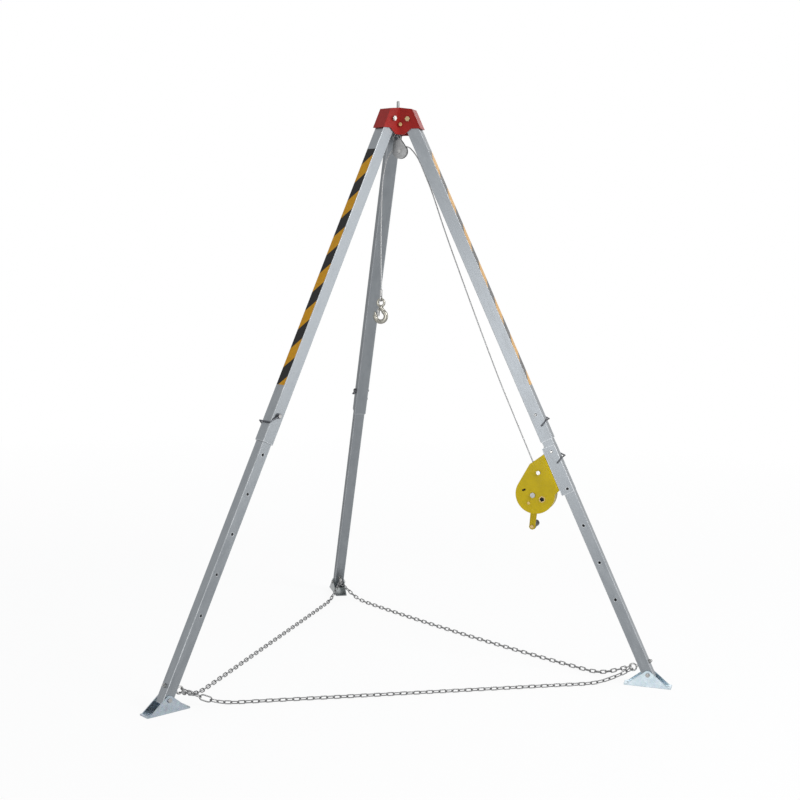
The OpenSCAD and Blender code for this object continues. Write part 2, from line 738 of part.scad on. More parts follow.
module winch_fasteners() color("silver") {
    outside = winch_half + plate_t;
    at_winch(tie_at) {
        rod_y(tie_r, -outside, outside);
        for (y = [-outside - 5, outside]) hex_y(1.7 * tie_r, y, y + 5);
    }
    at_winch(window_at) difference() {
        rod_y(window_r + 3, -outside - 1.5, -outside);
        rod_y(window_r, -outside - 2, -outside + 1);
    }
    at_winch(rivet_at) {
        rod_y(rivet_r, -outside, -winch_half);
        rod_y(rivet_r + 1.5, -outside - 1.5, -outside);
    }
    at_winch([winch_u - pawl_at.x, winch_s + pawl_at.y]) {
        rod_y(pawl_pin_r, ratchet_y, outside);
        rod_y(pawl_pin_r + 2.5, outside, outside + 2);
    }
}

module guide_roller() color("dimgray") at_winch(tie_at) difference() {
    rod_y(roller_r, -winch_half + pass_gap, winch_half - pass_gap);
    rod_y(tie_r + run_gap, -winch_half, winch_half);
}

module drum() color("gray") at_winch([winch_u, winch_s]) difference() {
    union() {
        rod_y(drum_core_r, -drum_half, drum_half);
        for (y = [-drum_half, drum_half - drum_flange_t]) rod_y(drum_flange_r, y, y + drum_flange_t);
    }
    rod_y(shaft_r, -winch_half, winch_half);
}

// The outer layer of rope on the drum, as points of one winding
winding_r = rope_pack_r - rope_d / 2;
winding_pitch = rope_d + winding_gap;
winding_turns = floor((2 * (drum_half - drum_flange_t - wind_margin) - rope_d) / winding_pitch);
winding = [
    for (i = [0:winding_turns * turn_rings])
        let (a = 360 * i / turn_rings, y = (i / turn_rings - winding_turns / 2) * winding_pitch)
            [winding_r * cos(a), y, winding_r * sin(a)]
];
echo(least_winding_gap = min([
    for (i = [turn_rings:len(winding) - 1]) norm(winding[i] - winding[i - turn_rings])
]) - rope_d);

module drum_rope() color("silver") at_winch([winch_u, winch_s]) {
    difference() {
        rod_y(winding_r - rope_d / 2 - wind_margin, -drum_half + drum_flange_t, drum_half - drum_flange_t);
        rod_y(drum_core_r, -winch_half, winch_half);
    }
    last = len(winding) - 1;
    first_end = winding[0] - rope_d * [0, 0, 1];
    last_end = winding[last] + rope_d * [0, 0, 1];
    rope(concat([first_end], winding, [last_end]), rope_d / 2, 6);
}

module drum_shaft() color("silver") at_winch([winch_u, winch_s]) {
    outside = winch_half + plate_t;
    rod_y(shaft_r, -outside - 6, crank_y + crank_t);
    hex_y(1.3 * shaft_r, -outside - 6 - pass_gap, -outside - pass_gap);
    rod_y(1.7 * shaft_r, outside + pass_gap, crank_y);
    hex_y(1.5 * shaft_r, crank_y + crank_t, crank_y + crank_t + 7);
}

module ratchet_outline() {
    root = ratchet_r - 5;
    polygon([
        for (i = [0:ratchet_teeth - 1]) let (a = 360 / ratchet_teeth * i)
            each [ratchet_r * dir2(a), root * dir2(a), (root + ratchet_r) / 2 * dir2(a + 180 / ratchet_teeth)]
    ]);
}

module ratchet_wheel() color("dimgray") at_winch([winch_u, winch_s]) difference() {
    slab_y(ratchet_y, ratchet_y + ratchet_t) ratchet_outline();
    rod_y(shaft_r, 0, winch_half);
}

module pawl() color("dimgray") at_winch([winch_u - pawl_at.x, winch_s + pawl_at.y]) difference() {
    slab_y(ratchet_y, ratchet_y + ratchet_t) belt([0, 0], 7, [-pawl_at.x * 0.12 - 9, pawl_at.y * 0.25], 2);
    rod_y(pawl_pin_r + run_gap, 0, winch_half);
}

crank_tip = crank_len * [-sin(crank_turn), -cos(crank_turn)];

module crank_arm() color("gold") at_winch([winch_u, winch_s]) difference() {
    across = [-cos(crank_turn), sin(crank_turn)];
    slab_y(crank_y, crank_y + crank_t) {
        circle(r = crank_w / 2 + 2);
        translate(crank_tip) circle(r = crank_w / 2);
        polygon([
            (crank_w / 2 + 1.5) * across, crank_tip + (crank_w / 2 - 0.5) * across,
            crank_tip - (crank_w / 2 - 0.5) * across, -(crank_w / 2 + 1.5) * across,
        ]);
    }
    rod_y(shaft_r, 0, 2 * crank_y);
    translate([crank_tip.x, 0, crank_tip.y]) rod_y(knob_axle_r, 0, 2 * crank_y);
}

module at_knob() at_winch([winch_u - crank_tip.x, winch_s - crank_tip.y]) children();

module knob_axle() color("silver") at_knob() {
    rod_y(knob_axle_r, crank_y - 4, crank_y + crank_t + 2 * knob_gap + knob_len + 4);
    hex_y(1.8 * knob_axle_r, crank_y - 5, crank_y);
    knob_end = crank_y + crank_t + 2 * knob_gap + knob_len;
    rod_y(1.8 * knob_axle_r, knob_end, knob_end + 4);
}

module knob() color([0.1, 0.1, 0.1])
    at_knob() translate([0, crank_y + crank_t + knob_gap, 0]) rotate([-90, 0, 0]) difference() {
    union() {
        cylinder(r1 = knob_r - 3, r2 = knob_r, h = 6);
        translate([0, 0, 6]) cylinder(r1 = knob_r, r2 = knob_r - 2, h = knob_len / 2 - 6);
        translate([0, 0, knob_len / 2]) cylinder(r1 = knob_r - 2, r2 = knob_r, h = knob_len / 2 - 6);
        translate([0, 0, knob_len - 6]) cylinder(r1 = knob_r, r2 = knob_r - 3, h = 6);
    }
    translate([0, 0, -1]) cylinder(r = knob_axle_r + run_gap, h = knob_len + 2);
}

// Pulley
module pulley_cheeks() color("silver") at_hoist() difference() {
    for (y = [-cheek_gap - cheek_t, cheek_gap])
        slab_y(y, y + cheek_t) belt(hang_pin, block_top_r, sheave_at, cheek_r);
    translate([hang_pin.x, 0, hang_pin.y]) rod_y(hang_pin_r, -30, 30);
    translate([sheave_at.x, 0, sheave_at.y]) rod_y(axle_r, -30, 30);
}

module pulley_rivet(r, y) {
    rod_y(r, -y, y);
    for (e = [-y - 3, y]) rod_y(r + 2, e, e + 3);
}

module pulley_pin() color("silver")
    at_hoist() translate([hang_pin.x, 0, hang_pin.y]) pulley_rivet(hang_pin_r, cheek_gap + cheek_t);
module sheave_axle() color("silver")
    at_hoist() translate([sheave_at.x, 0, sheave_at.y]) pulley_rivet(axle_r, cheek_gap + cheek_t);

module sheave() color("dimgray")
    at_hoist() translate([sheave_at.x, 0, sheave_at.y]) rotate([90, 0, 0]) difference() {
    rim = cheek_r - 1.5;
    groove = rope_d / 2 + 0.2;
    rotate_extrude() difference() {
        translate([axle_r + run_gap, -sheave_half]) square([rim - axle_r - run_gap, 2 * sheave_half]);
        translate([sheave_r, 0]) circle(groove);
        polygon([[sheave_r, groove], [sheave_r, -groove], [rim + 1, -groove - 1.6], [rim + 1, groove + 1.6]]);
    }
    for (a = [0:72:359])
        rotate([0, 0, a]) translate([(axle_r + groove_r) / 2 + 0.5, 0, -20]) cylinder(r = 3, h = 40);
}

// Rope end and hook
module rope_ferrule() color("silver")
    at_hoist() translate([hook_x, 0, ferrule_z]) cylinder(r = ferrule_r, h = ferrule_len);

module rope_eye() color("silver") at_hoist() translate([hook_x, 0, rope_eye_z]) difference() {
    rotate([0, 90, 0]) rotate_extrude() translate([rope_eye_r, 0]) circle(rope_d / 2);
    translate([-20, -20, rope_eye_r]) cube([40, 40, 20]);
}

module hook_arc(a0, a1) translate([bowl_at.x, 0, bowl_at.y]) rotate([90, 0, 0]) rotate([0, 0, a1])
    rotate_extrude(angle = a0 - a1) translate([hook_bowl_r, 0]) circle(hook_bar_r);

module hook() color("silver") at_hoist() {
    start = bowl_at + hook_bowl_r * dir2(bowl_start);
    tip = bowl_at + hook_bowl_r * dir2(bowl_end);
    point = tip + hook_tip_len * dir2(hook_tip_angle);
    neck = [hook_x, hook_eye_z - hook_eye_r - 2 * hook_eye_wire];
    translate([hook_x, 0, hook_eye_z]) ring_y(hook_eye_r + hook_eye_wire, hook_eye_wire);
    hook_arc(bowl_start, bowl_end);
    translate([start.x, 0, start.y]) sphere(hook_bar_r * ball_swell);
    rod([start.x, 0, start.y], [neck.x, 0, neck.y], hook_bar_r - 1);
    translate([neck.x, 0, neck.y]) sphere((hook_bar_r - 1) * ball_swell);
    translate([tip.x, 0, tip.y]) sphere(hook_bar_r * ball_swell);
    cone([tip.x, 0, tip.y], hook_bar_r - 0.3, [point.x, 0, point.y], hook_tip_r);
    translate([point.x, 0, point.y]) sphere(hook_tip_r * ball_swell);
    slab_y(-latch_lug_half, latch_lug_half) belt(latch_pivot, latch_lug_r, (start + neck) / 2, latch_lug_r);
    translate([latch_pivot.x, 0, latch_pivot.y]) {
        rod_y(latch_pin_r, -latch_half - 1, latch_half + 1);
        for (y = [-latch_half - 1 - pass_gap, latch_half + pass_gap]) rod_y(latch_pin_r + 1.2, y, y + 1);
    }
}

module hook_latch() color("gray") at_hoist() difference() {
    end = bowl_at + [-hook_bowl_r + hook_bar_r + latch_tip_r + 3 * pass_gap, 2];
    web = latch_pivot + (end - latch_pivot) * (latch_lug_r + latch_tip_r + 4) / norm(end - latch_pivot);
    union() {
        for (y = [-latch_half, latch_half - latch_t])
            slab_y(y, y + latch_t) belt(latch_pivot, latch_lug_r, end, latch_tip_r);
        slab_y(-latch_half, latch_half) belt(web, latch_tip_r, end, latch_tip_r - 0.5);
    }
    translate([latch_pivot.x, 0, latch_pivot.y]) rod_y(latch_pin_r + run_gap, -30, 30);
}

module rope_winch_run() color("silver") at_hoist() {
    away = [sin(rope_out_angle), -cos(rope_out_angle)];
    start = sheave_at + sheave_r * dir2(rope_out_angle) + rope_break * away;
    drum_end = [winch_s, winch_u - rope_pack_r - rope_d / 2 - pass_gap];
    run = [
        for (p = concat(winch_rope, [drum_end]))
            [pivot_r - p.y * cos(leg_lean) + p.x * sin(leg_lean), -p.y * sin(leg_lean) - p.x * cos(leg_lean)]
    ];
    lead = start + rope_d * away;
    rope(lift(smooth(concat([start, lead], run), 2)), rope_d / 2, rope_sides);
}

module rope_hook_run() color("silver") at_hoist() {
    step = (rope_in_angle - rope_out_angle) / 6;
    wrap = [for (i = [0:6]) sheave_at + sheave_r * dir2(rope_out_angle + i * step)];
    tail_z = ferrule_z + ferrule_len + pass_gap;
    tail = [[hook_x, tail_z + 2 * rope_d], [hook_x, tail_z]];
    rope(lift(smooth(concat(wrap, hook_rope, tail), 2)), rope_d / 2, rope_sides);
}

// Chain
module chain_link(in_len, in_w, wire) {
    mid = (in_w + wire) / 2;
    half = (in_len - in_w) / 2;
    for (side = [-1, 1]) {
        translate([side * half, 0, 0]) rotate([0, 0, -side * 90])
            rotate_extrude(angle = 180) translate([mid, 0]) circle(wire / 2);
        translate([-half, side * mid, 0]) rotate([0, 90, 0]) cylinder(r = wire / 2, h = 2 * half);
    }
}

// The wire of a leg's ring, where the chain hangs: angle is above the ring's innermost point
function ring_hold(k, angle) = leg_point(k, [ring_x - ring_r * cos(angle), 0, -ring_s + ring_r * sin(angle)]);

module chain_run(from, to, bow, quick) {
    a = ring_hold(from, ring_grip);
    b = ring_hold(to, -ring_grip);
    span = norm([b.x - a.x, b.y - a.y]);
    along = [b.x - a.x, b.y - a.y, 0] / span;
    out = [along.y, -along.x, 0];
    ends = len(chain_end) - 1;
    function bowed(x) = -4 * bow * x / span * (1 - x / span) * out;
    route = concat(
        [
            for (p = chain_end)
                [a.x, a.y, chain_floor + p.z * (a.z - chain_floor)] + p.x * along + p.y * out + bowed(p.x)
        ],
        [for (i = [2:8]) [a.x, a.y, chain_floor] + i / 10 * span * along + bowed(i / 10 * span)],
        [
            for (i = [ends:-1:0]) let (p = chain_end[i])
                [b.x, b.y, chain_floor + p.z * (b.z - chain_floor)] - p.x * along + p.y * out + bowed(p.x)
        ]
    );
    steps = [for (i = [0:len(route) - 2]) norm(route[i + 1] - route[i])];
    reach = [for (i = [0:len(route) - 1]) sum_to(steps, i - 1)];
    total = reach[len(reach) - 1];
    extra = quick ? quick_in_len - chain_pitch : 0;
    count = 2 * floor((total - extra) / (2 * chain_pitch)) + 1;
    pitch = (total - extra - link_play + hold_up + hold_down) / count;
    in_len = pitch + link_play;
    first = in_len / 2 - hold_up;
    function spot(s) = [for (c = [0:2]) lookup(s, [for (i = [0:len(route) - 1]) [reach[i], route[i][c]]])];
    for (i = [0:count - 1]) {
        is_quick = quick && i == quick_index;
        shift = !quick || i < quick_index ? 0 : is_quick ? extra / 2 : extra;
        s = first + i * pitch + shift;
        p = spot(s);
        t = spot(s + pitch / 2) - spot(s - pitch / 2);
        twist = chain_twist * min(1, i / chain_twist_links, (count - 1 - i) / chain_twist_links);
        translate(p) rotate([0, -asin(t.z / norm(t)), atan2(t.y, t.x)]) rotate([90 * (i % 2) + twist, 0, 0])
            if (is_quick) chain_link(quick_in_len + link_play, quick_in_w, quick_wire);
            else chain_link(in_len, i == 0 || i == count - 1 ? end_in_w : link_in_w, chain_wire);
    }
}

module chain_front() color("gray") chain_run(left, right, chain_bow[0], true);
module chain_rear() color("gray") chain_run(right, rear, chain_bow[1], false);
module chain_left() color("gray") chain_run(rear, left, chain_bow[2], false);

head_shell();
hub_core();
hub_screws();
head_eyebolt();
head_nut();
pivot_bolts();
upper_tube(left);  // upper_tube_left
upper_tube(right);  // upper_tube_right
upper_tube(rear);  // upper_tube_rear
lower_tube(left);  // lower_tube_left
lower_tube(right);  // lower_tube_right
lower_tube(rear);  // lower_tube_rear
tape(left);  // tape_left
tape(right);  // tape_right
tape(rear);  // tape_rear
leg_pin(left, pin_s);  // lock_pin_left
leg_pin(right, pin_s);  // lock_pin_right
leg_pin(rear, pin_s);  // lock_pin_rear
leg_bail(left, pin_s);  // bail_left
leg_bail(right, pin_s);  // bail_right
leg_bail(rear, pin_s);  // bail_rear
ring_bolt(left);  // ring_bolt_left
ring_bolt(right);  // ring_bolt_right
ring_bolt(rear);  // ring_bolt_rear
foot(left);  // foot_left
foot(right);  // foot_right
foot(rear);  // foot_rear
foot_bolt(left);  // foot_bolt_left
foot_bolt(right);  // foot_bolt_right
foot_bolt(rear);  // foot_bolt_rear
saddle();
leg_pin(right, saddle_pin_s);  // saddle_pin
leg_bail(right, saddle_pin_s);  // saddle_bail
winch_plate(-1);  // winch_plate_near
winch_plate(1);  // winch_plate_far
winch_casing();
winch_fasteners();
guide_roller();
drum();
drum_rope();
drum_shaft();
ratchet_wheel();
pawl();
crank_arm();
knob_axle();
knob();
pulley_cheeks();
pulley_pin();
sheave_axle();
sheave();
rope_ferrule();
rope_eye();
hook();
hook_latch();
rope_winch_run();
rope_hook_run();
chain_front();
chain_rear();
chain_left();
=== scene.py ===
"""Rescue tripod: finishes, wire rope and chain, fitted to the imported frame. Metres, +Z up."""
import json
import math

import bpy
from mathutils import Matrix, Vector


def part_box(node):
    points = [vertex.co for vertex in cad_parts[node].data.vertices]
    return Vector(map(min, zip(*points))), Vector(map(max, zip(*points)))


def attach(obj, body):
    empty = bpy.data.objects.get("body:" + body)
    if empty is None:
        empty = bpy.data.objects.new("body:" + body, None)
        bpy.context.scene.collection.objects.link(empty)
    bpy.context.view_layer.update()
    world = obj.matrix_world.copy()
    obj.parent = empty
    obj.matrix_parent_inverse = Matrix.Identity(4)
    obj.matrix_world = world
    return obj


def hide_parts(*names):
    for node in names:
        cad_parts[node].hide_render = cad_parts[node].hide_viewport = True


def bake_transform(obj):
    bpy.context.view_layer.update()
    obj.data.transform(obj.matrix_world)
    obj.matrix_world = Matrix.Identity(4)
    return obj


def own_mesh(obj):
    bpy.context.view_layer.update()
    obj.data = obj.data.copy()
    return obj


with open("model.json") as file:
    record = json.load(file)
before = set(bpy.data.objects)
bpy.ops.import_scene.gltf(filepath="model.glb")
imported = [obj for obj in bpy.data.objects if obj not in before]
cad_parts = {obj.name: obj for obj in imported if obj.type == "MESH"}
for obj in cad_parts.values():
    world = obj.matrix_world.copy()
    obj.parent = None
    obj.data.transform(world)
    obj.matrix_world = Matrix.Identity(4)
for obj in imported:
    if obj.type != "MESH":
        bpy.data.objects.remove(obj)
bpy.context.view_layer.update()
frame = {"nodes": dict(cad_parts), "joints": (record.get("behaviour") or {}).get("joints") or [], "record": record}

NODES = frame["nodes"]
JOINTS = {joint["name"]: joint for joint in frame["joints"]}
LEG_NAMES = ("left", "right", "rear")
UP = Vector((0, 0, 1))
WHITE = (1, 1, 1, 1)

# Camera: place from the tripod's centre line on the floor, angles in degrees, lens and sensor in millimetres
CAMERA_OFFSET = Vector((-1.159, -5.032, 1.577))
CAMERA_AZIMUTH = 76.66
CAMERA_PITCH = -6.181
CAMERA_ROLL = 1.342
CAMERA_LENS = 60.34
SENSOR_WIDTH = 36.0
VIEW_REACH = 200

# Colour and strength of the world's light on surfaces
WORLD_COLOUR = (0.95, 0.97, 1.0, 1)
WORLD_LIGHT = 0.55
# Each lamp's place, the point that it faces, its width and its power in watts
LAMPS = {
    "key": ((3.2, -4.6, 4.4), (0, -0.3, 1.1), 2.6, 150),
    "side": ((4.4, -2.6, 1.2), (0, -0.3, 0.8), 3.6, 66),
    "fill": ((-2.7, -4.6, 0.7), (0.4, -0.5, 1.1), 2.2, 52),
    "back": ((1.5, 4.5, 4.0), (0, 0, 1.2), 3.0, 50),
}
# Floor: half its width, how far it lies below the soles, and the tones and scale of its grain
FLOOR_HALF = 60.0
FLOOR_DROP = 0.0005
FLOOR_TONES = ((0.90, 0.90, 0.90), (0.92, 0.92, 0.92))
FLOOR_GRAIN = 30
# Share of the floor's look that is plain white near the feet, and the distances over which it grows to all
FLOOR_WHITE = 0.90
FLOOR_FADE = (2.0, 6.5)

# Wire rope: diameter, strands, length of one twist of the strands, and step between its sections
ROPE_D = 0.005
ROPE_STRANDS = 6
STRAND_POINTS = 4
ROPE_LAY = 0.036
ROPE_STEP = 0.003
# Steps of a smooth curve from one point of its route to the next
CURVE_STEPS = 12
# Rope on the sheave: radius of its middle, and the angles at which the winch's run and the hook's run leave
SHEAVE_R = 0.024
ROPE_OUT_ANGLE = 68
ROPE_IN_ANGLE = 150
WRAP_STEPS = 6
# Gap between the ends of the two runs on the sheave, and between a piece and what it meets
ROPE_BREAK = 0.001
PASS_GAP = 0.0003
# Rope from the pulley to the winch: distance down the leg from its pivot, distance inside its centre line
WINCH_ROPE = [
    (0.090, 0.049), (0.100, 0.042), (0.122, 0.035), (0.155, 0.030), (0.210, 0.030), (0.289, 0.033),
    (0.389, 0.042), (0.475, 0.049), (0.600, 0.057), (0.750, 0.066), (0.900, 0.074), (1.037, 0.080),
    (1.119, 0.082), (1.250, 0.084), (1.369, 0.086), (1.414, 0.0876),
]
# Rope from the pulley to the hook: distance from the centre line towards the winch, height from the pivots
HOOK_ROPE = [
    (-0.020, -0.117), (-0.031, -0.132), (-0.042, -0.158), (-0.050, -0.195), (-0.055, -0.240),
    (-0.057, -0.300), (-0.057, -0.380), (-0.056, -0.460), (-0.054, -0.540), (-0.052, -0.590),
]

# Rope wound on the drum: outer radius, distance between turns, and room left at the drum's flanges
ROPE_PACK_R = 0.038
WINDING_PITCH = 0.0055
WINDING_MARGIN = 0.0005
TURN_POINTS = 48
DRUM_HALF = 0.0205
DRUM_FLANGE_T = 0.0025
DRUM_CORE_R = 0.022
# Steps across the grooved core under the winding, and its sides
CORE_STEPS = 64
CORE_SIDES = 64

# Foot rings: height up the leg from the foot's bolt, distance out of its centre line, and radius
RING_UP_LEG = 0.041
RING_X = -0.0445
RING_R = 0.013
# Angle between a ring's innermost point and the chain on it, above for one run and below for the other
RING_GRIP = 25
# Chain: a link's share of the run, its wire, outer width and play, and faces round its wire and each bend
CHAIN_PITCH = 0.024
CHAIN_WIRE = 0.004
LINK_W = 0.016
LINK_PLAY = 0.0005
LINK_SIDES = 10
LINK_BEND = 10
# The first and last link of a run are wider, and hold the ring's wire this far inside their ends
END_IN_W = 0.013
HOLD_UP = 0.0055
HOLD_DOWN = 0.007
# Angle by which the chain lies rolled on the floor, and the links over which it rolls there from its ends
CHAIN_TWIST = 35
CHAIN_TWIST_LINKS = 6
# Larger quick link: its index in the run, inner length and width, and wire
QUICK_INDEX = 3
QUICK_IN_LEN = 0.038
QUICK_IN_W = 0.017
QUICK_WIRE = 0.005
# Sideways bow of each run on the floor, inwards
CHAIN_BOW = {"chain_front": 0.0, "chain_rear": 0.038, "chain_left": 0.0}
# One end of a chain run: distance along the run, bow outwards, share of the ring's height
CHAIN_END = [
    (0, 0, 1), (0.024, 0.003, 0.8), (0.048, 0.004, 0.6), (0.075, 0.004, 0.4), (0.105, 0.003, 0.2),
    (0.140, 0.002, 0.06), (0.180, 0.001, 0),
]
# Tenths of a run's length at which its route has a point between the two ends
MIDDLE_TENTHS = range(2, 9)
# Share of half a run that follows the leg's slide
CHAIN_SLIDE_SHARE = 0.28

# Warning tape: length of a black and a yellow band together, where the bands start, and each leg's gloss
TAPE_PERIOD = 0.150
TAPE_BLACK_END = 0.188
TAPE_PHASE = {"left": 0.0, "right": 0.029, "rear": 0.02}
TAPE_GLOSS = {"left": 0.16, "right": 0.55, "rear": 0.16}
# How much of its brightness a leg's metal keeps where it is seen at a flat angle; the rear leg's lower value
# paints shade on it
LEG_RIM = {"left": 1.0, "right": 1.0, "rear": 0.45}
# How far a rounded normal agrees with the true one on a flat face, and on an edge that takes its mark in full
# (chipped paint, and the painted highlights and painted edge shade on the metals)
EDGE_FLAT = 0.985
EDGE_FULL = 0.86
# Steel: shares of its colour in dull clouds and on lit edges, the most that an edge has, and its radius
STEEL_DULL = 0.72
STEEL_LIT = 1.25
STEEL_LIT_MOST = 0.9
STEEL_EDGE = 0.0008
# Distance over which a steel turns to its other tone
TONE_FADE = 0.004
# Sockets of a colour mix node: its factor, its two colours and its result
MIX_FACTOR = 0
MIX_COLOURS = (6, 7)
MIX_RESULT = 2
BEVEL_SAMPLES = 4


class Leg:
    """A leg's own axes: out of its outer face, across it, and up along it from the foot to the pivot."""

    def __init__(self, name):
        fold = JOINTS[f"leg_{name}_fold"]
        self.pivot = Vector(fold["pos_m"])
        self.across = Vector(fold["axis"])
        self.up = Vector(JOINTS[f"leg_{name}_slide"]["axis"])
        self.out = self.across.cross(self.up)
        foot = Vector(JOINTS[f"foot_{name}_tilt"]["pos_m"])
        self.foot_s = (self.pivot - foot).length

    def at(self, out, across, down):
        return self.pivot + self.out * out + self.across * across - self.up * down


LEGS = {name: Leg(name) for name in LEG_NAMES}
WINCH_LEG = LEGS["right"]
AXIS = sum((leg.pivot for leg in LEGS.values()), Vector()) / len(LEGS)
FLOOR_CENTRE = Vector((AXIS.x, AXIS.y, 0))
HOIST_OUT = (WINCH_LEG.pivot - AXIS).normalized()
DRUM = Vector(JOINTS["crank_turn"]["pos_m"])
SHEAVE = Vector(JOINTS["sheave_spin"]["pos_m"])


# Meshes

def make_piece(name, vertices, faces, material):
    mesh = bpy.data.meshes.new(name)
    mesh.from_pydata([tuple(v) for v in vertices], [], faces)
    mesh.materials.append(material)
    mesh.polygons.foreach_set("use_smooth", [True] * len(mesh.polygons))
    mesh.update()
    piece = bpy.data.objects.new(name, mesh)
    bpy.context.scene.collection.objects.link(piece)
    return piece


def ring_faces(rings, sides, closed=False, flip=False):
    """Quads between one ring of vertices and the next, and from the last ring to the first if closed."""
    faces = []
    for i in range(rings if closed else rings - 1):
        here = i * sides
        after = (i + 1) % rings * sides
        for j in range(sides):
            turn = (j + 1) % sides
            quad = (here + j, here + turn, after + turn, after + j)
            faces.append((quad[0], *reversed(quad[1:])) if flip else quad)
    return faces


def spline(points):
    """A smooth curve through the points."""
    last = len(points) - 1
    curve = []
    for i in range(last):
        p0, p1, p2, p3 = (points[min(max(i + k, 0), last)] for k in (-1, 0, 1, 2))
        for j in range(CURVE_STEPS):
            t = j / CURVE_STEPS
            curve.append(
                (2 * p1 + (p2 - p0) * t + (2 * p0 - 5 * p1 + 4 * p2 - p3) * t ** 2
                 + (3 * p1 - p0 - 3 * p2 + p3) * t ** 3) / 2
            )
    return curve + [points[last]]


def lengths_along(points):
    reach = [0.0]
    for a, b in zip(points, points[1:]):
        reach.append(reach[-1] + (b - a).length)
    return reach


def point_at(points, reach, distance):
    distance = min(max(distance, 0.0), reach[-1])
    i = 1
    while i < len(reach) - 1 and reach[i] < distance:
        i += 1
    share = (distance - reach[i - 1]) / (reach[i] - reach[i - 1])
    return points[i - 1].lerp(points[i], share)


def resample(points, step):
    reach = lengths_along(points)
    count = max(2, round(reach[-1] / step))
    return [point_at(points, reach, reach[-1] * i / count) for i in range(count + 1)]


def strand_section(radius):
    """Outline of a rope whose strands lie round a core as thick as they are, as (angle, radius) pairs."""
    strand_r = radius / 3
    centre = radius - strand_r
    count = ROPE_STRANDS * STRAND_POINTS
    half = math.pi / ROPE_STRANDS
    section = []
    for i in range(count):
        angle = 2 * math.pi * i / count
        off = (angle + half) % (2 * half) - half
        inside = max(strand_r ** 2 - (centre * math.sin(off)) ** 2, 0.0)
        section.append((angle, centre * math.cos(off) + math.sqrt(inside)))
    return section


def rope_piece(name, path, across):
    """A laid wire rope along a path, as one closed tube with twisted strands."""
    section = strand_section(ROPE_D / 2)
    sides = len(section)
    reach = lengths_along(path)
    last = len(path) - 1
    vertices = []
    for i, centre in enumerate(path):
        along = (path[min(i + 1, last)] - path[max(i - 1, 0)]).normalized()
        u = across.cross(along).normalized()
        v = along.cross(u)
        turn = 2 * math.pi * reach[i] / ROPE_LAY
        for angle, r in section:
            vertices.append(centre + r * (u * math.cos(angle + turn) + v * math.sin(angle + turn)))
    faces = ring_faces(len(path), sides)
    faces.append(tuple(reversed(range(sides))))
    faces.append(tuple(range(last * sides, len(path) * sides)))
    piece = make_piece(name, vertices, faces, ROPE)
    return piece


def link_shape(in_len, in_w, wire):
    """One welded chain link about the origin, long along X and flat in XY: its vertices and faces."""
    mid = (in_w + wire) / 2
    half = (in_len - in_w) / 2
    vertices = []
    for side in (1, -1):
        for i in range(LINK_BEND + 1):
            a = math.pi * i / LINK_BEND - side * math.pi / 2
            outward = Vector((math.cos(a), math.sin(a), 0))
            centre = Vector((side * half, 0, 0)) + mid * outward
            for j in range(LINK_SIDES):
                b = 2 * math.pi * j / LINK_SIDES
                vertices.append(centre + wire / 2 * (outward * math.cos(b) + UP * math.sin(b)))
    return vertices, ring_faces(2 * (LINK_BEND + 1), LINK_SIDES, closed=True, flip=True)


# Materials

class Nodes:
    """A node tree, with short ways to add its nodes and link them."""

    def __init__(self, tree):
        self.tree = tree
        tree.nodes.clear()

    def add(self, kind, inputs=None, **settings):
        node = self.tree.nodes.new(kind)
        for key, value in settings.items():
            setattr(node, key, value)
        for key, value in (inputs or {}).items():
            self.put(node, key, value)
        return node

    def put(self, node, key, value):
        if isinstance(value, bpy.types.NodeSocket):
            self.tree.links.new(value, node.inputs[key])
        else:
            node.inputs[key].default_value = value

    def math(self, operation, a, b=0.0, **settings):
        return self.add("ShaderNodeMath", {0: a, 1: b}, operation=operation, **settings).outputs[0]

    def seen_rays(self):
        """1 for what the camera sees, directly or in a reflection."""
        path = self.add("ShaderNodeLightPath")
        total = path.outputs["Is Camera Ray"]
        for name in ("Is Glossy Ray", "Is Transmission Ray"):
            total = self.math("ADD", total, path.outputs[name], use_clamp=True)
        return total


